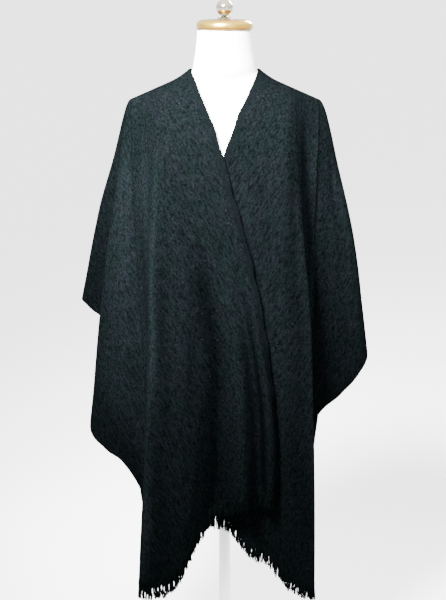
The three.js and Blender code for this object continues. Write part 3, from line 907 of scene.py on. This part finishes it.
def polished_ball():
    """Pale polished metal of the knob, with faint rubbing marks and a yellow cast."""
    material, tree, shader = new_material("polished_ball")
    place = node(tree, "ShaderNodeTexCoord", (-900, 0)).outputs["Object"]
    rubbed = noise(tree, place, (-650, 0), 90.0, Detail=4.0)
    tone = colour_ramp(tree, (-400, 60), rubbed.outputs["Fac"],
                       (0.0, (0.42, 0.38, 0.28)), (1.0, (0.56, 0.53, 0.42)))
    tree.links.new(tone.outputs["Color"], shader.inputs["Base Color"])
    worn_metal(tree, rubbed, shader, 0.05, 0.12)
    return material


def satin_paint():
    """White paint of the stand, a little uneven and faintly dusty."""
    material, tree, shader = new_material("satin_paint")
    link = tree.links.new
    place = node(tree, "ShaderNodeTexCoord", (-900, 0)).outputs["Object"]
    peel = noise(tree, place, (-650, 0), 420.0)
    dust = noise(tree, place, (-650, -220), 14.0)
    tone = colour_ramp(tree, (-400, -220), dust.outputs["Fac"],
                       (0.0, (0.84, 0.84, 0.83)), (1.0, (0.92, 0.92, 0.91)))
    link(tone.outputs["Color"], shader.inputs["Base Color"])
    bump = node(tree, "ShaderNodeBump", (-300, 0), {"Strength": 0.06, "Distance": 0.0003})
    link(peel.outputs["Fac"], bump.inputs["Height"])
    link(bump.outputs["Normal"], shader.inputs["Normal"])
    shader.inputs["Roughness"].default_value = 0.42
    return material


def dress(piece, material):
    piece.data.materials.clear()
    piece.data.materials.append(material)
    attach(piece, "root")


def soft_light(name, place, aim, size, power, spread=180):
    """A square lamp aimed at one point, with its spread in degrees."""
    lamp = bpy.data.lights.new(name, "AREA")
    lamp.shape = "SQUARE"
    lamp.size = size
    lamp.energy = power
    lamp.spread = math.radians(spread)
    holder = bpy.data.objects.new(name, lamp)
    holder.location = place
    holder.rotation_euler = (Vector(aim) - Vector(place)).to_track_quat("-Z", "Y").to_euler()
    bpy.context.scene.collection.objects.link(holder)


# Materials
wool_dark, wool_light = (0.00044, 0.0007, 0.0007), (0.0023, 0.0032, 0.0035)
# The fringe ends take the wool's colours with the painted hem shade in them, darker by the same
# share.
ends_dark_with_painted_shade, ends_light_with_painted_shade = (0.00024, 0.00044, 0.0004), (0.0014, 0.0021, 0.0021)
hair_light = (0.0083, 0.0098, 0.0097)
wool_right = brushed_wool("wool_combed_right", -comb_lean, wool_dark, wool_light, selvedge=True)
wool_left = brushed_wool("wool_combed_left", comb_lean, wool_dark, wool_light, selvedge=True)
wool_ends = brushed_wool("wool_ends", 0.0, ends_dark_with_painted_shade, ends_light_with_painted_shade)
wool_hairs = brushed_wool("wool_hairs", 0.0, wool_light, hair_light)

# Woven halves with their fringes
front_hem = len(right_front) * columns_per_fold
back_hem = len(back_folds) * columns_per_fold
halves = [
    ("right", right_front, right_side, -1, right_creases, right_painted_light, wool_right),
    ("left", left_front, left_side, 1, left_creases, left_painted_light, wool_left),
]
for word, front, side, hand, creases, nap_and_painted_light, wool in halves:
    grid = cloth_rows(fold_lines(front, side, hand))
    normals = grid_normals(grid, hand)
    middle = mid_wall(grid, normals, hand, creases)
    half = woven_half(f"woven_{word}_half", middle, hand, nap_and_painted_light)
    dress(half, wool)
    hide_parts(f"ruana_{word}_half")
    level = normals[-1] * np.array([1, 1, 0])
    level = level / np.maximum(np.linalg.norm(level, axis=1, keepdims=True), 1e-6)
    front_ends = fringe_strands(f"fringe_ends_front_{word}", middle[-1][:front_hem + 1],
                                level[:front_hem + 1], front_seed + hand)
    back_ends = fringe_strands(f"fringe_ends_back_{word}", middle[-1][-back_hem - 1:],
                               level[-back_hem - 1:], back_seed + hand)
    dress(front_ends, wool_ends)
    dress(back_ends, wool_ends)
    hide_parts(f"fringe_front_{word}")
    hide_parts(f"fringe_back_{word}")
    hairs = nap_hairs(f"nap_hairs_{word}", middle, normals, hand * hair_lean, loose_hairs,
                      hair_seed + hand)
    dress(hairs, wool_hairs)

# The stitches follow the last column of the left half, which lies on the seam.
stitches = seam_thread("centre_back_stitches", middle[rows_above_seam:, -1],
                       normals[rows_above_seam:, -1])
dress(stitches, wool_hairs)

# Dress form and stand
cover = dress_form()
rounded = cover.modifiers.new("rounded", "SUBSURF")
rounded.levels = rounded.render_levels = 1
make_active(cover)
bpy.ops.object.modifier_apply(modifier=rounded.name)
bpy.ops.object.shade_smooth()
dress(cover, jersey_cover())
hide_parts("form_torso")

brass = polished_brass()
paint = satin_paint()
cap = turned_piece("brass_cap", [
    (0, 1467.4), (54.6, 1467.4), (56.4, 1468.0), (57.3, 1469.2), (57.5, 1470.8), (57.5, 1474.6),
    (57.2, 1477.0), (56.4, 1479.2), (55.0, 1481.4), (53.0, 1483.4), (50.2, 1485.1), (46.4, 1486.3),
    (41, 1487.0), (30, 1487.5), (16, 1487.9), (0, 1488.2)])
dress(cap, brass)
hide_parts("neck_cap")

# The knob: a small moulded foot, and a ball that grows out of it.
knob_foot, ball, ball_steps = 1488.6, 17.0, 30
foot_profile = [(0, 0), (14.6, 0), (15.4, 0.5), (15.1, 1.1), (13.2, 1.8), (10, 2.6), (7.6, 3.5),
                (5.8, 4.7), (5.2, 6.2)]
knob_profile = [(radius, knob_foot + rise) for radius, rise in foot_profile]
for step in range(5, ball_steps + 1):
    angle = step / ball_steps * math.pi
    knob_profile.append((max(0.0, ball * math.sin(angle)),
                         knob_foot + 6 + ball * (0.9 - math.cos(angle))))
knob = turned_piece("brass_knob", knob_profile)
dress(knob, polished_ball())
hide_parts("cap_knob")
collar = turned_piece("form_socket", [
    (0, 741.7), (19, 741.7), (20.6, 742.4), (23.4, 745.0), (24, 746.4), (24, 760.6), (24.8, 762.2),
    (33, 767.2), (34, 768.6), (34, 770.9), (33.2, 771.6), (0, 771.6)])
dress(collar, paint)
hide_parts("form_collar")
pole = turned_piece("pole_tube", [
    (0, 16.3), (29, 16.3), (30, 17.2), (30, 21), (29.2, 22.2), (24, 24), (19, 27), (16.2, 30.6),
    (14.4, 33), (12.6, 37), (12, 40.6), (12, 300), (12, 560), (12, 741.4), (0, 741.4)])
dress(pole, paint)
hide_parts("stand_pole")
foot = turned_piece("round_foot", [
    (0, 0), (172.4, 0), (174.2, 0.7), (175, 2.2), (175, 10.4), (174.4, 12.6), (172.8, 14.4),
    (170.2, 15.6), (167, 16), (90, 16), (0, 16)], steps=96)
dress(foot, paint)
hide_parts("stand_base")

# Floor, light and camera
clear_selection()
bpy.ops.mesh.primitive_plane_add(size=800, location=(0, 0, -0.0005))
floor = bpy.context.object
floor.name = "pale_floor"
floor_material, _tree, floor_shader = new_material("pale_floor")
floor_shader.inputs["Base Color"].default_value = (0.96, 0.96, 0.96, 1)
floor_shader.inputs["Roughness"].default_value = 0.9
floor.data.materials.append(floor_material)

world = bpy.data.worlds.new("studio")
world.use_nodes = True
sky = world.node_tree
backdrop = sky.nodes["Background"]
backdrop.inputs["Strength"].default_value = 4.2
way_up = node(sky, "ShaderNodeTexCoord", (-900, 0))
sky_parts = node(sky, "ShaderNodeSeparateXYZ", (-700, 0))
sky.links.new(way_up.outputs["Generated"], sky_parts.inputs["Vector"])
sky_tone = colour_ramp(sky, (-500, 0), sky_parts.outputs["Z"],
                       (0.0, (0.38, 0.38, 0.38)), (1.0, (1, 1, 1)))
sky.links.new(sky_tone.outputs["Color"], backdrop.inputs["Color"])
bpy.context.scene.world = world

soft_light("key_upper_left", (-0.62, -1.48, 2.5), (-0.1, -0.05, 1.46), size=0.6, power=118,
           spread=52)
soft_light("fill_front_right", (1.3, -2.6, 1.5), (0.1, 0, 0.95), size=1.6, power=9)
soft_light("back_light", (1.1, 2.3, 2.4), (0, 0.1, 1.0), size=0.8, power=49, spread=70)

down_tilt = 12.54
camera_data = bpy.data.cameras.new("photo_camera")
camera_data.sensor_width = 36
camera_data.lens = 84.3
camera_data.shift_x = -0.0025
camera = bpy.data.objects.new("photo_camera", camera_data)
camera.location = (0, -2.9, 1.55)
camera.rotation_euler = (math.radians(90 - down_tilt), 0, 0)
bpy.context.scene.collection.objects.link(camera)
bpy.context.scene.camera = camera
